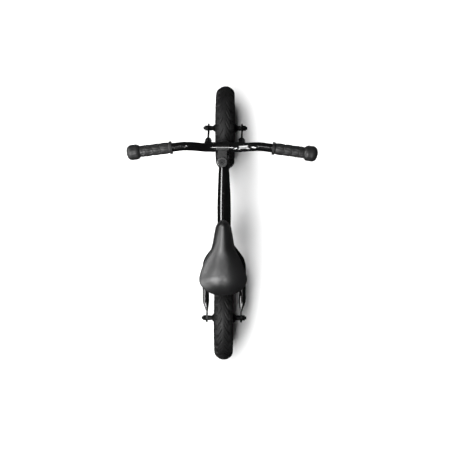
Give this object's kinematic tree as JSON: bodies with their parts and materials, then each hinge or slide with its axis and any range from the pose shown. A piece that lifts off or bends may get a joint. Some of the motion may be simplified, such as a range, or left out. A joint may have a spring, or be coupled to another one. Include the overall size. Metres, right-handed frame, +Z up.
{
  "type": "balance bike",
  "caption": "Child's pedal-free balance bike with a curved single-tube frame, wide pneumatic tyres on moulded wheels, riser handlebar with bulb grips and a padded saddle.",
  "frame": {"origin": "on the ground under the bike, midway between the two axles, in its plane of symmetry", "axes": "+X to the rider's right, +Y forward along the wheelbase, +Z up"},
  "size_m": [0.4846, 0.846, 0.5498],
  "materials": {
    "frame_paint": "gloss black powder coat",
    "plate_paint": "gloss black paint on flat plate",
    "bar_paint": "gloss black paint",
    "clamp_paint": "satin black paint on forged alloy",
    "black_steel": "black zinc plated steel",
    "plain_steel": "plain turned steel",
    "bearing_steel": "ground bearing steel with dark seals",
    "wheel_plastic": "black moulded composite",
    "tyre_rubber": "black tyre rubber",
    "tube_rubber": "black butyl rubber",
    "cap_plastic": "black moulded plastic",
    "grip_rubber": "matte black moulded rubber",
    "saddle_leatherette": "satin black leatherette with fine grain",
    "saddle_plastic": "black moulded plastic",
    "rail_steel": "black coated steel wire"
  },
  "bodies": {
    "frame": {"head_tube": "frame_paint", "main_tube": "frame_paint", "seat_tube": "frame_paint", "stay_left": "frame_paint", "stay_right": "frame_paint", "rear_dropout_left": "plate_paint", "rear_dropout_right": "plate_paint", "headset_lower_cup": "black_steel", "headset_lower_bearing": "bearing_steel", "headset_upper_cup": "black_steel", "headset_upper_bearing": "bearing_steel", "seat_clamp_collar": "clamp_paint", "seat_clamp_bolt": "black_steel", "seat_clamp_nut": "black_steel", "rear_axle": "black_steel", "rear_hub_sleeve": "plain_steel", "rear_axle_cones": "black_steel", "rear_axle_washers": "black_steel", "rear_axle_nuts": "black_steel"},
    "fork": {"fork_steerer": "frame_paint", "fork_leg_left": "frame_paint", "fork_leg_right": "frame_paint", "fork_dropout_left": "plate_paint", "fork_dropout_right": "plate_paint", "headset_crown_race": "black_steel", "headset_top_race": "black_steel", "headset_lock_washer": "black_steel", "headset_locknut": "black_steel", "front_axle": "black_steel", "front_hub_sleeve": "plain_steel", "front_axle_cones": "black_steel", "front_axle_washers": "black_steel", "front_axle_nuts": "black_steel"},
    "stem": {"stem_body": "clamp_paint", "stem_wedge": "plain_steel", "stem_expander_bolt": "black_steel", "stem_clamp_bolt": "black_steel"},
    "handlebar": {"handlebar_tube": "bar_paint", "grip_left": "grip_rubber", "grip_right": "grip_rubber"},
    "front_wheel": {"front_wheel_moulding": "wheel_plastic", "front_tyre": "tyre_rubber", "front_inner_tube": "tube_rubber", "front_valve_stem": "tube_rubber", "front_valve_cap": "cap_plastic", "front_wheel_bearings": "bearing_steel"},
    "rear_wheel": {"rear_wheel_moulding": "wheel_plastic", "rear_tyre": "tyre_rubber", "rear_inner_tube": "tube_rubber", "rear_valve_stem": "tube_rubber", "rear_valve_cap": "cap_plastic", "rear_wheel_bearings": "bearing_steel"},
    "seat_post": {"seat_post": "bar_paint", "saddle_clamp_core": "clamp_paint"},
    "saddle_clamp": {"saddle_clamp_cheeks": "clamp_paint", "saddle_clamp_bolt": "black_steel", "saddle_clamp_nuts": "black_steel"},
    "saddle": {"saddle_cushion": "saddle_leatherette", "saddle_base": "saddle_plastic", "saddle_rails": "rail_steel"}
  },
  "joints": [
    {"name": "steering", "type": "hinge", "parent": "frame", "child": "fork", "pos_m": [0, 0.2176, 0.29], "axis": [0, -0.2756, 0.9613], "continuous": true},
    {"name": "stem_height", "type": "slide", "parent": "fork", "child": "stem", "axis": [0, -0.2756, 0.9613], "range_m": [-0.035, 0.025]},
    {"name": "handlebar_roll", "type": "hinge", "parent": "stem", "child": "handlebar", "pos_m": [0, 0.193, 0.5], "axis": [1, 0, 0], "range_deg": [-30, 30]},
    {"name": "front_wheel_spin", "type": "hinge", "parent": "fork", "child": "front_wheel", "pos_m": [0, 0.295, 0.128], "axis": [-1, 0, 0], "continuous": true},
    {"name": "rear_wheel_spin", "type": "hinge", "parent": "frame", "child": "rear_wheel", "pos_m": [0, -0.295, 0.128], "axis": [-1, 0, 0], "continuous": true},
    {"name": "seat_height", "type": "slide", "parent": "frame", "child": "seat_post", "axis": [0, -0.309, 0.9511], "range_m": [-0.015, 0.03]},
    {"name": "saddle_tilt", "type": "hinge", "parent": "seat_post", "child": "saddle_clamp", "pos_m": [0, -0.10708, 0.29413], "axis": [1, 0, 0], "range_deg": [-12, 12]},
    {"name": "saddle_fore_aft", "type": "slide", "parent": "saddle_clamp", "child": "saddle", "axis": [0, 1, 0], "range_m": [-0.01, 0.01]}
  ]
}
